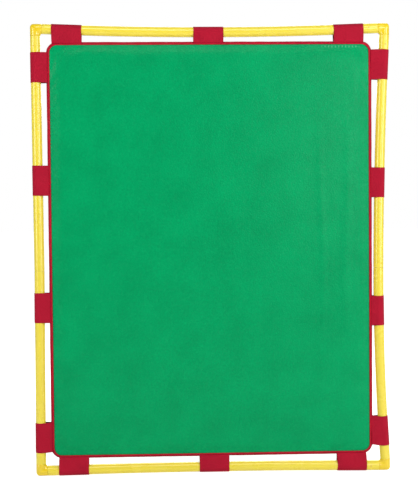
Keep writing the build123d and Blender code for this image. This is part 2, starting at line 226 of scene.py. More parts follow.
# ---- materials -------------------------------------------------------------------------------
class Nodes:
    """A material's node tree, with short calls to add to it."""

    def __init__(self, name, colour, roughness, **sockets):
        self.material = bpy.data.materials.new(name)
        self.material.use_nodes = True
        self.tree = self.material.node_tree
        self.shader = self.tree.nodes["Principled BSDF"]
        self.shader.inputs["Base Color"].default_value = (*colour, 1)
        self.shader.inputs["Roughness"].default_value = roughness
        for socket, value in sockets.items():
            self.shader.inputs[socket.replace("_", " ")].default_value = value
        self.where = self.tree.nodes.new("ShaderNodeTexCoord").outputs["Object"]

    def link(self, value, socket):
        if isinstance(value, bpy.types.NodeSocket):
            self.tree.links.new(value, socket)
        else:
            socket.default_value = value

    def stretch(self, scale):
        node = self.tree.nodes.new("ShaderNodeMapping")
        self.tree.links.new(self.where, node.inputs["Vector"])
        node.inputs["Scale"].default_value = scale
        return node.outputs["Vector"]

    def noise(self, scale, detail=3.0, roughness=0.5, where=None):
        node = self.tree.nodes.new("ShaderNodeTexNoise")
        self.tree.links.new(where or self.where, node.inputs["Vector"])
        node.inputs["Scale"].default_value = scale
        node.inputs["Detail"].default_value = detail
        node.inputs["Roughness"].default_value = roughness
        return node.outputs["Fac"]

    def cells(self, scale, feature="F1", where=None):
        node = self.tree.nodes.new("ShaderNodeTexVoronoi")
        node.feature = feature
        self.tree.links.new(where or self.where, node.inputs["Vector"])
        node.inputs["Scale"].default_value = scale
        return node.outputs["Distance"]

    def split(self, vector):
        node = self.tree.nodes.new("ShaderNodeSeparateXYZ")
        self.tree.links.new(vector, node.inputs["Vector"])
        return node.outputs

    def maths(self, operation, *values):
        node = self.tree.nodes.new("ShaderNodeMath")
        node.operation = operation
        for value, socket in zip(values, node.inputs):
            self.link(value, socket)
        return node.outputs["Value"]

    def ranged(self, value, low, high, to_low, to_high):
        node = self.tree.nodes.new("ShaderNodeMapRange")
        for setting, name in ((value, "Value"), (low, "From Min"), (high, "From Max"),
                              (to_low, "To Min"), (to_high, "To Max")):
            self.link(setting, node.inputs[name])
        return node.outputs["Result"]

    def blend_colours(self, factor, first, second):
        node = self.tree.nodes.new("ShaderNodeMix")
        node.data_type = "RGBA"
        self.link(factor, node.inputs[0])
        for value, socket in ((first, node.inputs[6]), (second, node.inputs[7])):
            self.link((*value, 1) if isinstance(value, tuple) else value, socket)
        return node.outputs[2]

    def colour(self, value):
        self.tree.links.new(value, self.shader.inputs["Base Color"])

    def rough(self, value):
        self.tree.links.new(value, self.shader.inputs["Roughness"])

    def bump(self, *layers):
        """Layers are (height, strength, distance in metres), the coarsest first."""
        normal = None
        for height, strength, distance in layers:
            node = self.tree.nodes.new("ShaderNodeBump")
            node.inputs["Strength"].default_value = strength
            node.inputs["Distance"].default_value = distance
            self.tree.links.new(height, node.inputs["Height"])
            if normal is not None:
                self.tree.links.new(normal, node.inputs["Normal"])
            normal = node.outputs["Normal"]
        self.tree.links.new(normal, self.shader.inputs["Normal"])


def shade(colour, factor):
    return tuple(min(1.0, c * factor) for c in colour)


# Painted highlights: a row of pale glints at the stitches, just under the top seam
TICK_PITCH = 0.0115
TICK_FIRST, TICK_LAST = 0.360, 0.500
TICK_Z = PANEL_Z + FACE_HEIGHT / 2 - 0.0075
TICK_HALF, TICK_FADED = 0.002, 0.0045
PAINTED_GLINT_COLOUR = (0.16, 0.55, 0.30)


def make_vinyl(name, colour, roughness, grain, gloss, painted_glints=0.0):
    """Coated fabric: pebbled leather grain, faint mottling, and a little unevenness in its gloss; it can
    also carry a row of painted highlights, pale glint ticks under the top seam on the front.
    """
    n = Nodes(name, colour, roughness, Specular_IOR_Level=gloss)
    mottle = n.noise(9.0, 4.0)
    speck = n.noise(200.0, 3.0)
    pebble = n.cells(grain, "SMOOTH_F1")
    tone = n.maths("ADD", n.ranged(mottle, 0.3, 0.7, 0.0, 0.5),
                   n.ranged(speck, 0.35, 0.65, 0.0, 0.5))
    tinted = n.blend_colours(tone, shade(colour, 0.85), shade(colour, 1.15))
    # Painted highlights: pale ticks that stand in for glints on the stretched cover under the top seam, on
    # the front only
    if painted_glints:
        across, depth, up = n.split(n.where)
        comb = n.ranged(n.maths("SINE", n.maths("MULTIPLY", across, 2 * pi / TICK_PITCH)),
                        0.2, 0.95, 0.0, 1.0)
        start = n.ranged(across, TICK_FIRST, TICK_FIRST + 0.03, 0.0, 1.0)
        stop = n.ranged(across, TICK_LAST - 0.01, TICK_LAST, 1.0, 0.0)
        above = n.maths("ABSOLUTE", n.maths("SUBTRACT", up, TICK_Z))
        row = n.ranged(above, TICK_HALF, TICK_FADED, 1.0, 0.0)
        front = n.maths("LESS_THAN", depth, 0.0)
        glint_mask = comb
        for mask in (row, start, stop, front, painted_glints):
            glint_mask = n.maths("MULTIPLY", glint_mask, mask)
        tinted = n.blend_colours(glint_mask, tinted, PAINTED_GLINT_COLOUR)
    n.colour(tinted)
    n.rough(n.ranged(n.noise(60.0, 3.0), 0.3, 0.7, roughness - 0.05, roughness + 0.06))
    n.bump((n.noise(210.0, 3.0), 0.7, 0.0011), (pebble, 0.4, 0.0003),
           (n.noise(1500.0, 2.0), 0.2, 0.0001))
    return n.material


PLASTIC_SHEEN = (1.0, 0.93, 0.35, 1)


def make_plastic(name, colour, roughness, wear):
    """Moulded or drawn plastic with fine scuffs along it and slightly duller, paler worn patches."""
    n = Nodes(name, colour, roughness, Specular_IOR_Level=0.7, Coat_Weight=0.4, Coat_Roughness=0.18,
              Diffuse_Roughness=1.0, Sheen_Weight=0.10, Sheen_Roughness=0.4)
    n.shader.inputs["Sheen Tint"].default_value = PLASTIC_SHEEN
    patches = n.noise(14.0, 5.0, 0.6)
    scuffs = n.noise(900.0, 2.0, where=n.stretch((1.0, 1.0, 0.06)))
    worn = n.maths("MULTIPLY", n.ranged(patches, 0.5, 0.72, 0.0, 1.0),
                   n.ranged(scuffs, 0.5, 0.7, 0.0, 1.0))
    paler = tuple(c + (1 - c) * 0.10 for c in colour)
    even = n.blend_colours(n.noise(5.0, 2.0), shade(colour, 0.97), shade(colour, 1.03))
    n.colour(n.blend_colours(worn, even, paler))
    n.rough(n.maths("ADD", n.ranged(patches, 0.35, 0.7, roughness - 0.03, roughness + 0.05),
                    n.maths("MULTIPLY", worn, wear)))
    n.bump((n.noise(30.0, 2.0), 0.04, 0.0004), (scuffs, 0.05, 0.0001))
    return n.material


def make_fabric(name, colour, pitch):
    """Plain-woven strap cloth; the Weave map runs in metres across and along the strap."""
    n = Nodes(name, colour, 0.86, Specular_IOR_Level=0.12, Sheen_Weight=0.04, Sheen_Roughness=0.5)
    map_node = n.tree.nodes.new("ShaderNodeUVMap")
    map_node.uv_map = "Weave"
    places = n.split(map_node.outputs["UV"])
    across, along = (n.maths("MULTIPLY", places[k], pi / pitch) for k in (0, 1))
    warp, weft = n.maths("SINE", across), n.maths("SINE", along)
    over = n.maths("GREATER_THAN", n.maths("MULTIPLY", warp, weft), 0.0)
    warp_up, weft_up = n.maths("ABSOLUTE", warp), n.maths("ABSOLUTE", weft)
    mix = n.tree.nodes.new("ShaderNodeMix")
    for value, socket in ((over, mix.inputs[0]), (warp_up, mix.inputs[2]), (weft_up, mix.inputs[3])):
        n.link(value, socket)
    height = mix.outputs[0]
    fuzz = n.noise(2600.0, 2.0)
    # Colour is lighter on the raised threads and darker where they dip, a painted shade in the weave's
    # hollows, mixed with tone that differs at random
    tone = n.maths("ADD", n.ranged(height, 0.0, 1.0, 0.0, 0.6),
                   n.ranged(n.noise(18.0, 4.0), 0.3, 0.7, 0.0, 0.4))
    n.colour(n.blend_colours(tone, shade(colour, 0.84), shade(colour, 1.10)))
    n.rough(n.ranged(n.noise(30.0, 3.0), 0.3, 0.7, 0.80, 0.92))
    n.bump((n.noise(70.0, 3.0), 0.35, 0.0008), (height, 0.6, 0.00025), (fuzz, 0.25, 0.0001))
    return n.material


def make_pile(name, colour, scale, depth, roughness):
    """Hook or loop tape: a dense field of tiny tufts."""
    n = Nodes(name, colour, roughness, Specular_IOR_Level=0.3, Sheen_Weight=0.15)
    tufts = n.cells(scale)
    # Painted shade: darker between the tufts and lighter on their tops
    n.colour(n.blend_colours(n.ranged(tufts, 0.0, 0.6, 0.0, 1.0), shade(colour, 1.15), shade(colour, 0.6)))
    n.rough(n.ranged(n.noise(80.0, 2.0), 0.3, 0.7, roughness - 0.05, roughness + 0.05))
    n.bump((n.noise(220.0, 3.0), 0.4, 0.0006), (tufts, 0.8, depth))
    return n.material


GREEN = (0.0004, 0.350, 0.117)
RED_VINYL = (0.54, 0.007, 0.030)
# Painted shade: the boxing band is a darker copy of the welt's red vinyl, for the shade on its
# outward-turned side
SHADED_RED_BAND = (0.42, 0.006, 0.024)
RED_FABRIC = (0.47, 0.008, 0.031)
YELLOW_PIPE = (0.98, 0.830, 0.070)
YELLOW_ELBOW = (0.97, 0.76, 0.018)
RIVET_AMBER = (0.80, 0.54, 0.05)
INNER_WHITE = (0.70, 0.70, 0.66)
# Painted shade: the straps' inner face is near black so that the gaps between their plies read as shaded
PAINTED_SHADE_LINING_RED = (0.085, 0.003, 0.010)
HOOK_RED = (0.26, 0.008, 0.018)
LOOP_RED = (0.30, 0.010, 0.022)
WEAVE_PITCH, THREAD_PITCH = 0.0011, 0.0005
MAT = {
    "cover_vinyl": make_vinyl("green_vinyl", GREEN, 0.25, 520.0, 0.10, painted_glints=0.6),
    "piping_vinyl": make_vinyl("piping_vinyl", RED_VINYL, 0.42, 900.0, 0.10),
    "band_vinyl": make_vinyl("band_vinyl", SHADED_RED_BAND, 0.45, 800.0, 0.10),
    "pipe_plastic": make_plastic("pipe_plastic", YELLOW_PIPE, 0.26, 0.15),
    "elbow_plastic": make_plastic("elbow_plastic", YELLOW_ELBOW, 0.17, 0.10),
    "inner_plastic": make_plastic("inner_plastic", INNER_WHITE, 0.45, 0.10),
    "rivet_plastic": make_plastic("rivet_plastic", RIVET_AMBER, 0.28, 0.10),
    "strap_fabric": make_fabric("strap_fabric", RED_FABRIC, WEAVE_PITCH),
    "strap_lining": make_fabric("strap_lining", PAINTED_SHADE_LINING_RED, WEAVE_PITCH),
    "thread": make_fabric("strap_thread", shade(RED_FABRIC, 0.8), THREAD_PITCH),
    "hook_tape": make_pile("hook_tape", HOOK_RED, 900.0, 0.0005, 0.45),
    "loop_pile": make_pile("loop_pile", LOOP_RED, 620.0, 0.0007, 0.9),
}
# The CAD pieces that stay in the picture take the same materials
for subpart in frame["record"]["subparts"]:
    if subpart["material_slot"] in MAT:
        cad_piece = frame["nodes"][subpart["node"]].data
        cad_piece.materials.clear()
        cad_piece.materials.append(MAT[subpart["material_slot"]])


def place(ob, body, node_slot, *nodes):
    """Seats a finished piece on its body and hides the CAD nodes it stands for; the material slot passed in
    is not used.
    """
    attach(ob, body)
    if nodes:
        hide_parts(*nodes)
    return ob


# ---- pipes -----------------------------------------------------------------------------------
PIPE_SIDES = 56
PIPE_TURN = 2 * pi * np.arange(PIPE_SIDES)[:, None] / PIPE_SIDES
PIPE_STEP = 0.012       # between rings along a pipe
PIPE_SOFT = 0.0010      # rounding of a cut end
# Rings at a cut end: distance from the end and radius
PIPE_LIP = [(0.0, BORE_R + 0.001), (0.0, PIPE_R - PIPE_SOFT),
            (PIPE_SOFT * 0.4, PIPE_R - PIPE_SOFT * 0.3), (PIPE_SOFT, PIPE_R)]


def ring_loop(side, stations):
    """Closed skin through rings round a rail's axis; stations are (distance along, radius)."""
    rings = []
    for along, radius in stations:
        centre, _, inward = rail_seat(side, along)
        rings.append(centre + radius * (np.cos(PIPE_TURN) * inward + np.sin(PIPE_TURN) * REAR))
    return np.concatenate(rings), grid_faces(len(rings), PIPE_SIDES, wrap_rows=True, wrap_columns=True)


def pipe_mesh(side, low, high):
    """A stretch of bowed pipe with softened cut ends and its bore."""
    steps = np.linspace(low + 0.002, high - 0.002, max(3, round((high - low) / PIPE_STEP)))
    outer = [(low + s, radius) for s, radius in PIPE_LIP] + [(s, PIPE_R) for s in steps]
    outer += [(high - s, radius) for s, radius in PIPE_LIP[::-1]]
    inner = [(high, BORE_R)] + [(s, BORE_R) for s in steps[::-4]] + [(low, BORE_R)]
    return ring_loop(side, outer + inner)


for node, side, low, high in (
    ("top_rail", "top", -rail_end("top"), rail_end("top")),
    ("bottom_rail", "bottom", -rail_end("bottom"), rail_end("bottom")),
    ("left_rail_lower", "left", -rail_end("left"), RAILS["left"]["peak"] - JOINT_GAP / 2),
    ("left_rail_upper", "left", RAILS["left"]["peak"] + JOINT_GAP / 2, rail_end("left")),
    ("right_rail_upper", "right", -rail_end("right"), RAILS["right"]["peak"] - JOINT_GAP / 2),
    ("right_rail_lower", "right", RAILS["right"]["peak"] + JOINT_GAP / 2, rail_end("right")),
):
    place(mesh_object("pipe_" + node, *pipe_mesh(side, low, high), MAT["pipe_plastic"]),
          "root", "pipe_plastic", node)


# ---- elbows ----------------------------------------------------------------------------------
CORNERS = {
    "elbow_top_left": ("left", "top"),
    "elbow_top_right": ("top", "right"),
    "elbow_bottom_right": ("right", "bottom"),
    "elbow_bottom_left": ("bottom", "left"),
}
ELBOW_CORNER_R = 0.0115
ELBOW_STEPS = 36
# Rings at each mouth, from the seam with the pipe inwards: share of full size, and distance in
ELBOW_MOUTH = [(0.91, 0.0), (0.975, 0.0004), (1.0, 0.0012)]
SPIGOT_R, SPIGOT_BORE_R, SPIGOT_LENGTH, SPIGOT_ROOT = 0.0132, 0.010, 0.045, 0.0015
# Rings of a spigot: share of the way from its root to its tip, and radius
SPIGOT_RINGS = [(0, SPIGOT_R), (0.5, SPIGOT_R), (0.97, SPIGOT_R), (1, SPIGOT_R - 0.001),
                (1, SPIGOT_BORE_R), (0, SPIGOT_BORE_R)]


def corner_distance(turn):
    """Distance from the inner fillet's centre out to the elbow's rounded outer side."""
    way = np.array((-sin(turn), -cos(turn)))
    reach = ELBOW_REACH + PIPE_R
    flat = min(reach / max(-way[0], 1e-9), reach / max(-way[1], 1e-9))
    middle = np.array((ELBOW_CORNER_R - PIPE_R - ELBOW_REACH,) * 2)
    along = way @ middle
    inside = ELBOW_CORNER_R ** 2 - (middle @ middle - along ** 2)
    if inside <= 0:
        return flat
    hit = (along + sqrt(inside)) * way
    return min(flat, along + sqrt(inside)) if (hit < middle).all() else flat


def elbow_mesh(before, after):
    """Moulded corner with a rounded heel and a small inner fillet, and a spigot up each pipe."""
    origin, ahead, inward = SIDES[after]
    corner = origin - ahead * RAILS[after]["half"]
    # The inner fillet's centre, about which the rings turn
    pivot = corner + ELBOW_REACH * (ahead + inward)
    fillet = ELBOW_REACH - PIPE_R
    rings = [(0.0, size, inset * ahead) for size, inset in ELBOW_MOUTH]
    rings += [(turn, 1.0, 0.0) for turn in np.linspace(0, pi / 2, ELBOW_STEPS + 1)[1:-1]]
    rings += [(pi / 2, size, inset * inward) for size, inset in ELBOW_MOUTH[::-1]]
    points = []
    for turn, size, inset in rings:
        out = -(ahead * sin(turn) + inward * cos(turn))
        far = corner_distance(turn)
        middle, half = (far + fillet) / 2, (far - fillet) / 2
        ring = half * np.cos(PIPE_TURN) * out + PIPE_R * np.sin(PIPE_TURN) * REAR
        points.append(pivot + out * middle - inset + size * ring)
    count = len(points)
    faces = grid_faces(count, PIPE_SIDES, wrap_columns=True)
    faces += [tuple(range(PIPE_SIDES))[::-1],
              tuple(range((count - 1) * PIPE_SIDES, count * PIPE_SIDES))]
    parts = [(np.concatenate(points), faces)]
    for side, towards in ((before, 1), (after, -1)):
        root = towards * (rail_end(side) + SPIGOT_ROOT)
        tip = towards * (rail_end(side) - SPIGOT_LENGTH)
        stations = [(root + (tip - root) * share, radius) for share, radius in SPIGOT_RINGS]
        parts.append(ring_loop(side, stations))
    return join_parts(parts)


for node, (before, after) in CORNERS.items():
    place(mesh_object("corner_" + node, *elbow_mesh(before, after), MAT["elbow_plastic"]),
          "root", "elbow_plastic", node)


# ---- padded covers ---------------------------------------------------------------------------
def graded(span, corner, spacing):
    """Coordinates across a span, close together near both ends."""
    near = corner * np.array((1.0, 0.93, 0.84, 0.74, 0.62, 0.48, 0.32, 0.16))
    inside = span / 2 - corner
    middle = np.linspace(-inside, inside, round(2 * inside / spacing) + 1)
    return np.concatenate((-inside - near, middle, (inside + near)[::-1]))


def cover_grid(spacing):
    """Points (X, Z) of a rounded rectangle and each one's distance in from its outline."""
    xs = graded(FACE_WIDTH, FACE_CORNER_R, spacing)
    zs = graded(FACE_HEIGHT, FACE_CORNER_R, spacing)
    x, z = np.meshgrid(xs, zs)
    u = np.clip((np.abs(x) - (FACE_WIDTH / 2 - FACE_CORNER_R)) / FACE_CORNER_R, 0, 1)
    v = np.clip((np.abs(z) - (FACE_HEIGHT / 2 - FACE_CORNER_R)) / FACE_CORNER_R, 0, 1)
    both = (u > 0) & (v > 0)
    u_round, v_round = u * np.sqrt(1 - v * v / 2), v * np.sqrt(1 - u * u / 2)
    x = np.where(both, np.sign(x) * (FACE_WIDTH / 2 + FACE_CORNER_R * (u_round - 1)), x)
    z = np.where(both, np.sign(z) * (FACE_HEIGHT / 2 + FACE_CORNER_R * (v_round - 1)), z)
    inset = np.minimum(FACE_WIDTH / 2 - np.abs(x), FACE_HEIGHT / 2 - np.abs(z))
    inset = np.where(both, FACE_CORNER_R * (1 - np.hypot(u_round, v_round)), inset)
    return x, z, np.maximum(inset, 0.0)


SEAM_Y = 0.0083
COVER_RISE, RISE_REACH = 0.0022, 0.009      # quick roll up from the seam
COVER_CROWN, CROWN_REACH = 0.0014, 0.045    # slower crown beyond it
LEAST_Y = 0.0096        # the cloth may not sink below this
BACK_Y = 0.00985        # the back cover is held down to this behind the straps,
BACK_HELD = 0.014       # as far in as this from its outline,
BACK_SLOPE = 0.10       # and rises at this rate beyond
TURNED_EDGE = (0.0076, 0.0062, 0.0004)      # depths of the rings that close a cover
CLOTH_SWELL, CLOTH_SHRINK, CLOTH_FRAMES, CLOTH_CAP = 4.0, -0.004, 14, 0.004
FRONT_SPACING, BACK_SPACING = 0.0105, 0.0135


def puff(inset):
    """Height of the cover above the panel's middle plane at a distance in from its seam."""
    roll = COVER_RISE * (1 - np.exp(-inset / RISE_REACH))
    return SEAM_Y + roll + COVER_CROWN * (1 - np.exp(-inset / CROWN_REACH))


def settle(ob, pinned):
    """Runs the cover as cloth held along its seam, and gives the points it comes to rest at."""
    group = ob.vertex_groups.new(name="seam")
    group.add([int(i) for i in pinned], 1.0, "REPLACE")
    modifier = ob.modifiers.new("Cloth", "CLOTH")
    cloth = modifier.settings
    cloth.quality = 5
    cloth.mass = 0.35
    cloth.tension_stiffness = 18
    cloth.compression_stiffness = 18
    cloth.shear_stiffness = 8
    cloth.bending_stiffness = 1.2
    cloth.vertex_group_mass = "seam"
    cloth.use_pressure = True
    cloth.uniform_pressure_force = CLOTH_SWELL
    cloth.shrink_min = CLOTH_SHRINK
    cloth.shrink_max = CLOTH_SHRINK
    cloth.effector_weights.gravity = 0
    modifier.collision_settings.use_collision = False
    modifier.point_cache.frame_start, modifier.point_cache.frame_end = 1, CLOTH_FRAMES
    for step in range(1, CLOTH_FRAMES + 1):
        bpy.context.scene.frame_set(step)
    done = ob.evaluated_get(bpy.context.evaluated_depsgraph_get())
    points = np.array([v.co for v in done.data.vertices])
    ob.modifiers.remove(modifier)
    bpy.context.scene.frame_set(1)
    return points


def cover_details(x, z, inset, seed):
    """Small heights added after the cloth has settled: puckers at the seam and slack ripples."""
    seam_run = np.where(FACE_WIDTH / 2 - np.abs(x) < FACE_HEIGHT / 2 - np.abs(z), z, x)
    draw = np.random.default_rng(seed)
    pucker = np.zeros_like(x)
    for length, size in ((0.021, 1.0), (0.034, 0.9), (0.055, 0.8), (0.013, 0.5)):
        phase = draw.uniform(0, 6) + 2.0 * np.sin(seam_run * 9)
        pucker += size * np.sin(2 * pi * seam_run / length + phase)
    pucker *= 0.00016 * np.exp(-inset / 0.016) * (1 - np.exp(-inset / 0.0025))
    drift = np.zeros_like(x)
    for length in (0.9, 0.47, 0.26):
        turn = draw.uniform(0, pi)
        drift += length * np.sin(2 * pi * (x * cos(turn) + z * sin(turn)) / length + draw.uniform(0, 6))
    return pucker + 0.00035 * drift


def make_cover(name, front, spacing, seed):
    """Crowned pad, one half of the panel's thickness: cover, turned edge and flat inner side."""
    x, z, inset = cover_grid(spacing)
    rows, columns = x.shape
    towards = -1.0 if front else 1.0
    height = puff(inset)
    start = np.stack((x + PANEL_X, towards * height, z + PANEL_Z), -1).reshape(-1, 3)
    faces = grid_faces(rows, columns, flip=not front)
    ob = mesh_object(name, start, faces, MAT["cover_vinyl"])
    rim = (inset < 1e-6).reshape(-1)
    moved = settle(ob, np.flatnonzero(rim)) - start
    reach = np.minimum(np.linalg.norm(moved, axis=1), CLOTH_CAP)
    moved *= (reach / np.maximum(np.linalg.norm(moved, axis=1), 1e-9))[:, None]
    start = start + moved
    low = np.minimum(height.reshape(-1), LEAST_Y)
    start[:, 1] = towards * np.maximum(towards * start[:, 1], low)
    ob.data.vertices.foreach_set("co", start.astype(np.float32).ravel())
    modifier = ob.modifiers.new("Smooth", "SUBSURF")
    modifier.levels = modifier.render_levels = 1
    modifier.boundary_smooth = "PRESERVE_CORNERS"
    done = ob.evaluated_get(bpy.context.evaluated_depsgraph_get())
    mesh = bpy.data.meshes.new_from_object(done)
    ob.modifiers.remove(modifier)
    fine = np.array([v.co for v in mesh.vertices])
    fx, fz = fine[:, 0] - PANEL_X, fine[:, 2] - PANEL_Z
    fine_inset = outline_inset(fx, fz)
    fine[:, 1] += towards * cover_details(fx, fz, fine_inset, seed)
    if front:
        fine[:, 1] -= front_ripples(fx, fz)
    else:
        flat = BACK_Y + BACK_SLOPE * np.maximum(fine_inset - BACK_HELD, 0.0)
        fine[:, 1] = np.minimum(fine[:, 1], flat)
    polygons = [tuple(p.vertices) for p in mesh.polygons]
    bpy.data.objects.remove(ob)
    return close_cover(name, fine, polygons, towards)


def outline_inset(x, z):
    """Distance in from the face's rounded outline."""
    u = np.abs(x) - (FACE_WIDTH / 2 - FACE_CORNER_R)
    v = np.abs(z) - (FACE_HEIGHT / 2 - FACE_CORNER_R)
    straight = np.minimum(-u, -v) + FACE_CORNER_R
    return np.maximum(np.where((u > 0) & (v > 0), FACE_CORNER_R - np.hypot(u, v), straight), 0.0)


# Slack ripples in the front cover, from the panel's middle: X, half width, lowest and highest Z, height
RIPPLES = [
    (0.372, 0.011, -0.27, 0.33, 0.0009),
    (0.457, 0.016, -0.30, 0.42, 0.0011),
    (0.488, 0.012, 0.05, 0.60, 0.0007),
    (-0.492, 0.014, 0.20, 0.62, 0.0005),
]


def front_ripples(x, z):
    height = np.zeros_like(x)
    for middle, half, low, high, size in RIPPLES:
        sway = middle + 0.006 * np.sin(7.0 * z + 40 * middle)
        fade = 1 / (1 + np.exp(-(z - low) / 0.05)) / (1 + np.exp((z - high) / 0.05))
        height += size * np.exp(-((x - sway) / half) ** 2) * fade
    return height


def close_cover(name, points, polygons, towards):
    """Adds the turned edge, tucked in under the welt, and the flat inner side."""
    # A dictionary, not a set, so that the rim starts at the same point every time
    edges = dict.fromkeys((a, b) for polygon in polygons for a, b in zip(polygon, polygon[1:] + polygon[:1]))
    follow = {a: b for a, b in edges if (b, a) not in edges}
    first = next(iter(follow))
    rim = [first]
    while follow[rim[-1]] != first:
        rim.append(follow[rim[-1]])
    rim = np.array(rim)
    edge = points[rim]
    size = len(rim)
    parts, faces, base = [points], list(polygons), len(points)
    last = rim
    for k, depth in enumerate(TURNED_EDGE):
        ring = edge.copy()
        ring[:, 1] = towards * depth
        parts.append(ring)
        now = np.arange(base + k * size, base + (k + 1) * size)
        for i in range(size):
            j = (i + 1) % size
            faces.append((int(last[j]), int(last[i]), int(now[i]), int(now[j])))
        last = now
    faces.append(tuple(int(i) for i in last[::-1]))
    ob = mesh_object(name, np.concatenate(parts), faces, MAT["cover_vinyl"])
    ob.data.polygons[-1].use_smooth = False
    return ob


pad_front = make_cover("pad_front", True, FRONT_SPACING, 3)
place(pad_front, "root", "cover_vinyl", "front_cover", "foam_core")
pad_back = make_cover("pad_back", False, BACK_SPACING, 8)
place(pad_back, "root", "cover_vinyl", "back_cover")


# ---- welts and boxing ------------------------------------------------------------------------
def sweep_round(profile_at):
    """Skin of a profile carried round the face's outline; profile_at gives (outward, depth) columns."""
    points, normals, run = face_outline()
    total = run[-1]
    out, depth = profile_at(run, total)
    columns = out.shape[1]
    x = points[:, 0:1] + normals[:, 0:1] * out
    z = points[:, 1:2] + normals[:, 1:2] * out
    skin = np.stack((x, depth, z), -1).reshape(-1, 3)
    return skin, grid_faces(len(points), columns, wrap_rows=True, wrap_columns=True)


WELT_SIDES = 14


def welt(towards, seed):
    """Vinyl-covered cord along the seam of one cover."""
    def profile(run, total):
        turn = 2 * pi * np.arange(WELT_SIDES) / WELT_SIDES
        radius = PIPING_R * (1 + 0.035 * waves(run, total, (0.03, 0.011), seed))
        drift = 0.00030 * waves(run, total, (0.35, 0.09), seed + 1)
        lift = 0.00022 * waves(run, total, (0.25, 0.06), seed + 2)
        out = PIPING_OUT + drift[:, None] + radius[:, None] * np.cos(turn)
        depth = towards * (PIPING_Y + lift[:, None] - 0.0001) + radius[:, None] * np.sin(turn)
        return out, depth
    return sweep_round(profile)


def boxing(seed):
    """Band round the panel's edge, rounded outwards between the two welts."""
    shape = np.array([(0.0004, -0.0072), (0.0030, -0.0073), (0.0058, -0.0071), (0.0082, -0.0063),
                      (0.0098, -0.0045), (0.0107, -0.0023), (0.0110, 0.0), (0.0107, 0.0023),
                      (0.0098, 0.0045), (0.0082, 0.0063), (0.0058, 0.0071), (0.0030, 0.0073),
                      (0.0004, 0.0072), (0.0004, 0.0030), (0.0004, -0.0030)])

    def profile(run, total):
        slack = (0.00045 * waves(run, total, (0.20, 0.07), seed)
                 + 0.0002 * waves(run, total, (0.02, 0.012), seed + 1))
        weight = np.clip((shape[:, 0] - 0.004) / 0.005, 0, 1)
        out = shape[None, :, 0] + np.minimum(slack, 0.0002)[:, None] * weight
        depth = shape[None, :, 1] + 0.0004 * waves(run, total, (0.16,), seed + 2)[:, None] * weight
        return out, depth
    return sweep_round(profile)


place(mesh_object("welt_front", *welt(-1.0, 21), MAT["piping_vinyl"]),
      "root", "piping_vinyl", "edge_piping")
place(mesh_object("welt_back", *welt(1.0, 31), MAT["piping_vinyl"]), "root", "piping_vinyl")
place(mesh_object("boxing", *boxing(41), MAT["band_vinyl"]), "root", "band_vinyl", "edge_band")


# ---- straps ----------------------------------------------------------------------------------
def panel_edge(side):
    """Distance from the side's axis line inwards to the outline of the face."""
    shift = {"top": PANEL_SHIFT_Z, "bottom": -PANEL_SHIFT_Z, "left": -PANEL_SHIFT_X, "right": PANEL_SHIFT_X}
    upright = side in ("top", "bottom")
    return (HALF_H if upright else HALF_W) - shift[side] - (FACE_HEIGHT if upright else FACE_WIDTH) / 2


def tangent_angle(reach, depth, towards):
    """Where a straight line from a point touches the wrap, as an angle round the pipe."""
    return atan2(depth, reach) + towards * acos(STRAP_R / hypot(reach, depth))


def strap_line(edge):
    """Middle line of the fabric as (inward, rearward) points, and where on it each part begins."""
    seam = (edge - STRAP_SEAM_OUT, STRAP_SEAM_Y)
    front = tangent_angle(*seam, -1)
    bend = (edge - BAND_OUT + TAIL_BEND, TAIL_Y)
    rear = tangent_angle(*bend, 1) - 2 * pi
    graze = np.array((STRAP_R * cos(front), STRAP_R * sin(front)))
    leave = np.array((STRAP_R * cos(rear), STRAP_R * sin(rear)))
    tucked = [(edge - 0.0034, -0.0078)]
    span = [np.array(seam) + (graze - seam) * t for t in np.linspace(0, 1, 13)[:-1]]
    wrap = [(STRAP_R * cos(a), STRAP_R * sin(a)) for a in np.linspace(front, rear, 44)]
    back = [leave + (np.array(bend) - leave) * t for t in np.linspace(0, 1, 17)[1:-1]]
    flat = [(edge - BAND_OUT + t, TAIL_Y) for t in np.linspace(TAIL_BEND + 0.0008, TAIL_OVERLAP, 8)]
    line = np.array([*tucked, *span, *wrap, *back, *flat])
    return line, len(tucked) + len(span), len(tucked) + len(span) + len(wrap), leave


# How far each strap's sewn end sits along the side from where it goes round the pipe
STRAP_SKEW = {
    "top_left": 0.0030,
    "top_right": -0.0019,
    "bottom_left": -0.0024,
    "bottom_right": 0.0030,
    "left_lower": 0.0020,
    "right_upper": 0.0030,
    "right_lower": -0.0070,
}


STRAP_COLUMNS = 33


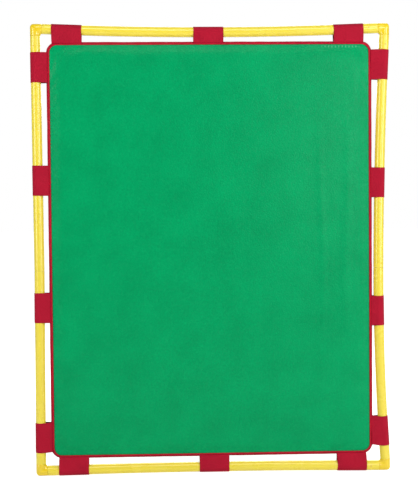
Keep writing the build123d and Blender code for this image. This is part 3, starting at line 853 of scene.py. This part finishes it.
def strap_surface(name, seed):
    """The strap's seat and axes, its middle line, and a grid of distances across and of lift off it."""
    side, where = STRAPS[name]
    _, ahead, _ = SIDES[side]
    along = where * (ahead[0] + ahead[2])
    centre, x_axis, inward = rail_seat(side, along)
    edge = (panel_edge(side) - rail_at(side, along)[0]) / cos(rail_at(side, along)[1])
    line, wrap_from, wrap_to, leave = strap_line(edge)
    step = np.gradient(line, axis=0)
    step /= np.linalg.norm(step, axis=1)[:, None]
    normal = np.stack((-step[:, 1], step[:, 0]), -1)
    run = np.concatenate(([0], np.cumsum(np.linalg.norm(np.diff(line, axis=0), axis=1))))
    # The normal points away from the pipe
    middle = (wrap_from + wrap_to) // 2
    if normal[middle] @ line[middle] < 0:
        normal = -normal
    draw = np.random.default_rng(seed)
    side_way = np.linspace(-1, 1, STRAP_COLUMNS)
    side_way = np.sign(side_way) * (1 - (1 - np.abs(side_way)) ** 1.15)
    front_part = np.clip(1 - run / run[wrap_from], 0, 1)
    tail_part = np.clip((run - run[wrap_to]) / (run[-1] - run[wrap_to]), 0, 1)
    pinch = 0.0005 * (1 - front_part ** 0.7) * (1 - tail_part)
    wander = 0.00025 * np.sin(run * 60 + draw.uniform(0, 6))
    half = STRAP_WIDTH / 2 - 0.0003 - pinch[:, None] + wander[:, None] * np.sign(side_way)
    x = side_way[None, :] * half + (STRAP_SKEW.get(name, 0.0) * front_part ** 1.3)[:, None]
    # Gathers where the fabric is sewn in, and a slight belly in the free spans
    gather = np.zeros_like(x)
    for length, size in ((0.026, 1.0), (0.017, 0.7), (0.041, 1.0)):
        gather += size * np.sin(2 * pi * x / length + draw.uniform(0, 6))
    gather *= 0.00022 * np.sin(pi * np.clip(front_part, 0, 1) ** 0.8)[:, None]
    belly = 0.0005 * np.sin(pi * front_part)[:, None] * np.cos(x / STRAP_WIDTH * 2.2)
    # The tail's edges curl a little, and the sewn end dips in under the welt
    curl = (0.0004 * draw.uniform(0.2, 1.0) * tail_part ** 2)[:, None] * (np.abs(x) / (STRAP_WIDTH / 2)) ** 4
    tuck = -0.0011 * np.exp(-(run / 0.0028) ** 2)[:, None]
    return {
        "centre": centre, "x_axis": x_axis, "inward": inward, "line": line, "normal": normal,
        "run": run, "x": x, "lift": gather + belly + curl + tuck, "leave": leave,
    }


def on_strap(s, across, flat):
    """Points in the part's frame from distances across the strap and (inward, rearward) places."""
    return s["centre"] + across * s["x_axis"] + flat[..., 0:1] * s["inward"] + flat[..., 1:2] * REAR


STRAP_EDGE = 0.45       # thickness at the strap's edges, as a share of the rest


def strap_mesh(name, s):
    """Both faces of the fabric, with its edges rounded over, as one closed skin."""
    rows, columns = s["x"].shape
    # Half the thickness everywhere, thinner along all four edges
    thin, ends = np.ones(columns), np.ones(rows)
    thin[[0, -1]] = ends[[0, -1]] = STRAP_EDGE
    half = STRAP / 2 * thin[None, :] * ends[:, None]
    sheets = []
    for face in (1, -1):
        lift = s["lift"] + face * half
        flat = s["line"][:, None, :] + s["normal"][:, None, :] * lift[..., None]
        sheets.append(on_strap(s, s["x"][..., None], flat))
    points, faces = closed_sheet(*sheets)
    ob = mesh_object("strap_fabric_" + name, points, faces, MAT["strap_fabric"])
    # The inner face takes the near-black colour, a painted shade for the gaps between the plies
    ob.data.materials.append(MAT["strap_lining"])
    for polygon in ob.data.polygons[(rows - 1) * (columns - 1):2 * (rows - 1) * (columns - 1)]:
        polygon.material_index = 1
    run = np.repeat(s["run"], columns)
    flat_map = np.stack((s["x"].reshape(-1), run), -1)
    weave_map(ob, np.concatenate((flat_map, flat_map)))
    return ob


def weave_map(ob, places):
    """Stores distances across and along the strap, in metres, as the map the weave follows."""
    layer = ob.data.uv_layers.new(name="Weave")
    corners = np.zeros(len(ob.data.loops), np.int32)
    ob.data.loops.foreach_get("vertex_index", corners)
    layer.data.foreach_set("uv", places[corners].astype(np.float32).ravel())


# Rings of a stitch: share of its length, of its radius, and how high it stands
STITCH_RINGS = ((0.0, 0.25, -0.5), (0.18, 0.9, 0.1), (0.5, 1.0, 0.35), (0.82, 0.9, 0.1), (1.0, 0.25, -0.5))
STITCH_SIDES = 6


def beads(starts, ends, normals, radius):
    """Short raised stitches between pairs of points, each a rounded sliver of thread."""
    starts, ends, normals = (np.asarray(v, float) for v in (starts, ends, normals))
    way = ends - starts
    length = np.linalg.norm(way, axis=1)[:, None]
    way = way / length
    side_way = np.cross(way, normals)
    turn = 2 * pi * np.arange(STITCH_SIDES)[None, :, None] / STITCH_SIDES
    rings = []
    for share, size, rise in STITCH_RINGS:
        middle = starts + way * length * share + normals * radius * rise
        spoke = np.cos(turn) * side_way[:, None, :] + np.sin(turn) * normals[:, None, :]
        rings.append(middle[:, None, :] + radius * size * spoke)
    points = np.stack(rings, 1).reshape(-1, 3)
    per = len(STITCH_RINGS) * STITCH_SIDES
    faces = []
    skin = grid_faces(len(STITCH_RINGS), STITCH_SIDES, wrap_columns=True)
    caps = [tuple(range(STITCH_SIDES))[::-1], tuple(range(per - STITCH_SIDES, per))]
    for k in range(len(starts)):
        faces += [tuple(k * per + q for q in f) for f in skin + caps]
    return points, faces


STITCH, STITCH_GAP, THREAD_R = 0.0027, 0.0013, 0.00030
EDGE_LINE = 0.925                   # lines along the strap, as a share of its half width
END_LINE, END_PAIR = 0.90, 0.0052   # how far the lines across reach, and how far apart they are


def strap_stitches(name, s):
    """Lines of stitches along both edges of the strap and across its ends."""
    rows, columns = s["x"].shape
    run, x_grid = s["run"], s["x"]

    def sample(distance, fraction):
        """Point and normal on the outer face at a distance along and a fraction across."""
        k = np.clip(np.searchsorted(run, distance) - 1, 0, rows - 2)
        t = (distance - run[k]) / (run[k + 1] - run[k])
        line = s["line"][k] * (1 - t) + s["line"][k + 1] * t
        normal = s["normal"][k] * (1 - t) + s["normal"][k + 1] * t
        normal = normal / np.linalg.norm(normal)
        fractions = np.linspace(-1, 1, columns)
        across = np.interp(fraction, fractions, x_grid[k])
        lift = np.interp(fraction, fractions, s["lift"][k]) + STRAP / 2
        flat = line + normal * lift
        return on_strap(s, across, flat), normal[0] * s["inward"] + normal[1] * REAR

    starts, ends, normals = [], [], []

    def stitch(first, second):
        (a, n), (b, _) = sample(*first), sample(*second)
        starts.append(a)
        ends.append(b)
        normals.append(n)

    begin, stop = s["run"][1] + 0.002, s["run"][-1] - 0.0018
    for fraction in (-EDGE_LINE, EDGE_LINE):
        at = begin
        while at + STITCH < stop:
            stitch((at, fraction), (at + STITCH, fraction))
            at += STITCH + STITCH_GAP
    half = x_grid[-1][-1]
    for distance in (stop, stop - END_PAIR):
        at = -END_LINE
        while at + STITCH / half < END_LINE:
            stitch((distance, at), (distance, at + STITCH / half))
            at += (STITCH + STITCH_GAP) / half
    points, faces = beads(starts, ends, normals, THREAD_R)
    ob = mesh_object("strap_stitches_" + name, points, faces, MAT["thread"])
    weave_map(ob, np.stack((points @ s["x_axis"], points[:, 1] + points @ s["inward"]), -1))
    return ob


TAPE_UNEVEN, TAPE_BORDER = 0.0002, 0.0016


def plate(centre, x_axis, y_axis, normal, width, depth, corner, seed):
    """Rounded patch of tape with a slightly uneven face, as one closed skin."""
    columns, rows = max(8, round(width / 0.003)), max(5, round(depth / 0.0015))
    u, v = np.meshgrid(np.linspace(-1, 1, columns), np.linspace(-1, 1, rows))
    x, y = u * width / 2, v * depth / 2
    over_x, over_y = np.abs(x) - (width / 2 - corner), np.abs(y) - (depth / 2 - corner)
    far = np.hypot(np.maximum(over_x, 0), np.maximum(over_y, 0))
    pull = np.where((over_x > 0) & (over_y > 0) & (far > corner), corner / np.maximum(far, 1e-9), 1.0)
    x = np.where(pull < 1, np.sign(x) * (width / 2 - corner + over_x * pull), x)
    y = np.where(pull < 1, np.sign(y) * (depth / 2 - corner + over_y * pull), y)
    draw = np.random.default_rng(seed)
    border = np.minimum(np.minimum(width / 2 - np.abs(x), depth / 2 - np.abs(y)), TAPE_BORDER) / TAPE_BORDER
    top = PATCH / 2 * (0.55 + 0.45 * np.clip(border, 0, 1))
    top += draw.uniform(-TAPE_UNEVEN, 0, x.shape) * (border > 0.9)
    flat = centre + x[..., None] * x_axis + y[..., None] * y_axis
    return closed_sheet(flat + top[..., None] * normal, flat - PATCH / 2 * normal)


PATCH = 0.001
HOOK_WIDTH, HOOK_DEPTH, HOOK_INSET, HOOK_CORNER_R = 0.092, 0.007, 0.0006, 0.0015
LOOP_WIDTH, LOOP_DEPTH, LOOP_INSET, LOOP_CORNER_R = 0.097, 0.013, 0.0006, 0.004
PANEL_HALF = 0.010
loop_parts = []
for number, name in enumerate(STRAPS):
    s = strap_surface(name, 100 + number)
    flap = "flap_" + name
    fabric = strap_mesh(name, s)
    stitches = strap_stitches(name, s)
    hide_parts("strap_" + name, "tail_" + name)
    for piece in (fabric, stitches):
        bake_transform(piece)
    hook_middle = s["line"][-1][0] - HOOK_INSET - HOOK_DEPTH / 2
    hook_centre = on_strap(s, 0.0, np.array((hook_middle, TAIL_Y - STRAP / 2 - PATCH / 2)))
    hook = plate(hook_centre, s["x_axis"], s["inward"], -REAR,
                 HOOK_WIDTH, HOOK_DEPTH, HOOK_CORNER_R, 300 + number)
    place(mesh_object("hook_tape_" + name, *hook, MAT["hook_tape"]),
          flap, "hook_tape", "hook_" + name)
    side, _ = STRAPS[name]
    origin, ahead, inward = SIDES[side]
    loop_centre = (origin + ahead * ((s["centre"] - origin) @ ahead) + REAR * (PANEL_HALF + PATCH / 2)
                   + inward * (panel_edge(side) + LOOP_INSET + LOOP_DEPTH / 2))
    loop_parts.append(plate(loop_centre, ahead, inward, REAR,
                            LOOP_WIDTH, LOOP_DEPTH, LOOP_CORNER_R, 400 + number))
place(mesh_object("loop_tape", *join_parts(loop_parts), MAT["loop_pile"]),
      "root", "loop_pile", "loop_patches")


# ---- studio ----------------------------------------------------------------------------------
def emitter(name, location, target, width, height, power):
    light = bpy.data.lights.new(name, "AREA")
    light.shape = "RECTANGLE"
    light.size, light.size_y = width, height
    light.energy = power
    ob = bpy.data.objects.new(name, light)
    ob.location = location
    ob.rotation_mode = "QUATERNION"
    ob.rotation_quaternion = (Vector(target) - Vector(location)).to_track_quat("-Z", "Y")
    bpy.context.scene.collection.objects.link(ob)


emitter("softbox_left", (-2.7, -1.9, 1.50), (0, 0, 0.80), 1.1, 2.0, 36)
emitter("softbox_right", (2.7, -1.8, 1.45), (0, 0, 0.80), 1.1, 2.2, 45)
emitter("softbox_top", (0.0, -2.2, 3.4), (0, 0, 0.80), 2.4, 1.0, 32)
emitter("softbox_edge", (1.36, -3.3, 1.45), (0.4, 0, 0.95), 0.30, 1.5, 17)
emitter("softbox_rear", (0.3, 3.2, 2.4), (0, 0, 0.70), 2.4, 1.8, 74)

# The world is white to the camera and dim to everything else
world = bpy.data.worlds.new("studio")
bpy.context.scene.world = world
world.use_nodes = True
tree = world.node_tree
background = tree.nodes["Background"]
background.inputs["Color"].default_value = (1, 1, 1, 1)
ray = tree.nodes.new("ShaderNodeLightPath")
strength = tree.nodes.new("ShaderNodeMapRange")
tree.links.new(ray.outputs["Is Camera Ray"], strength.inputs["Value"])
strength.inputs["To Min"].default_value = 0.12
strength.inputs["To Max"].default_value = 1.0
tree.links.new(strength.outputs["Result"], background.inputs["Strength"])

FLOOR_SIDES, FLOOR_RADII, FLOOR_DROP = 48, (1.5, 6, 40), 0.0005
floor_turns = np.linspace(0, 2 * pi, FLOOR_SIDES + 1)[:-1]
floor_points = [(0, 0, 0)] + [(r * cos(a), r * sin(a), 0) for r in FLOOR_RADII for a in floor_turns]
floor_faces = [(0, 1 + i, 1 + (i + 1) % FLOOR_SIDES) for i in range(FLOOR_SIDES)]
floor_faces += grid_faces(len(FLOOR_RADII), FLOOR_SIDES, wrap_columns=True, start=1, flip=True)
# Brighter to the camera than to the object, and brightest away from it, like a lit backdrop
floor_look = Nodes("floor", (0.86, 0.86, 0.86), 0.7, Specular_IOR_Level=0.1)
floor_look.rough(floor_look.ranged(floor_look.noise(3.0), 0.3, 0.7, 0.65, 0.75))
floor_look.shader.inputs["Emission Color"].default_value = (1, 1, 1, 1)
glow = floor_look.tree.nodes.new("ShaderNodeLightPath").outputs["Is Camera Ray"]
spread = floor_look.tree.nodes.new("ShaderNodeTexGradient")
spread.gradient_type = "SPHERICAL"
floor_look.link(floor_look.stretch((0.35, 0.35, 0.35)), spread.inputs["Vector"])
seen = floor_look.ranged(spread.outputs["Fac"], 0.0, 1.0, 1.0, 0.70)
floor_look.link(floor_look.ranged(glow, 0.0, 1.0, 0.10, seen), floor_look.shader.inputs["Emission Strength"])
floor = mesh_object("floor", floor_points, floor_faces, floor_look.material)
floor.location.z = -FLOOR_DROP
floor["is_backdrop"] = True

# Fitted to the photo
CAMERA_EYE, CAMERA_AIM = Vector((-0.1501, -3.7944, 0.8987)), Vector((-0.0113, 0.0, 0.7549))
CAMERA_LENS, CAMERA_ROLL = 81.37, radians(-0.489)
camera_data = bpy.data.cameras.new("camera")
camera_data.lens = CAMERA_LENS
camera_data.clip_start, camera_data.clip_end = 0.05, 200
camera = bpy.data.objects.new("camera", camera_data)
camera.rotation_mode = "QUATERNION"
camera.location = CAMERA_EYE
roll = Quaternion((0, 0, 1), CAMERA_ROLL)
camera.rotation_quaternion = (CAMERA_AIM - CAMERA_EYE).to_track_quat("-Z", "Y") @ roll
bpy.context.scene.collection.objects.link(camera)
bpy.context.scene.camera = camera
bpy.context.scene.view_settings.view_transform = "Standard"

# ---- sizes and the end -----------------------------------------------------------------------
bpy.context.view_layer.update()
low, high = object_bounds()
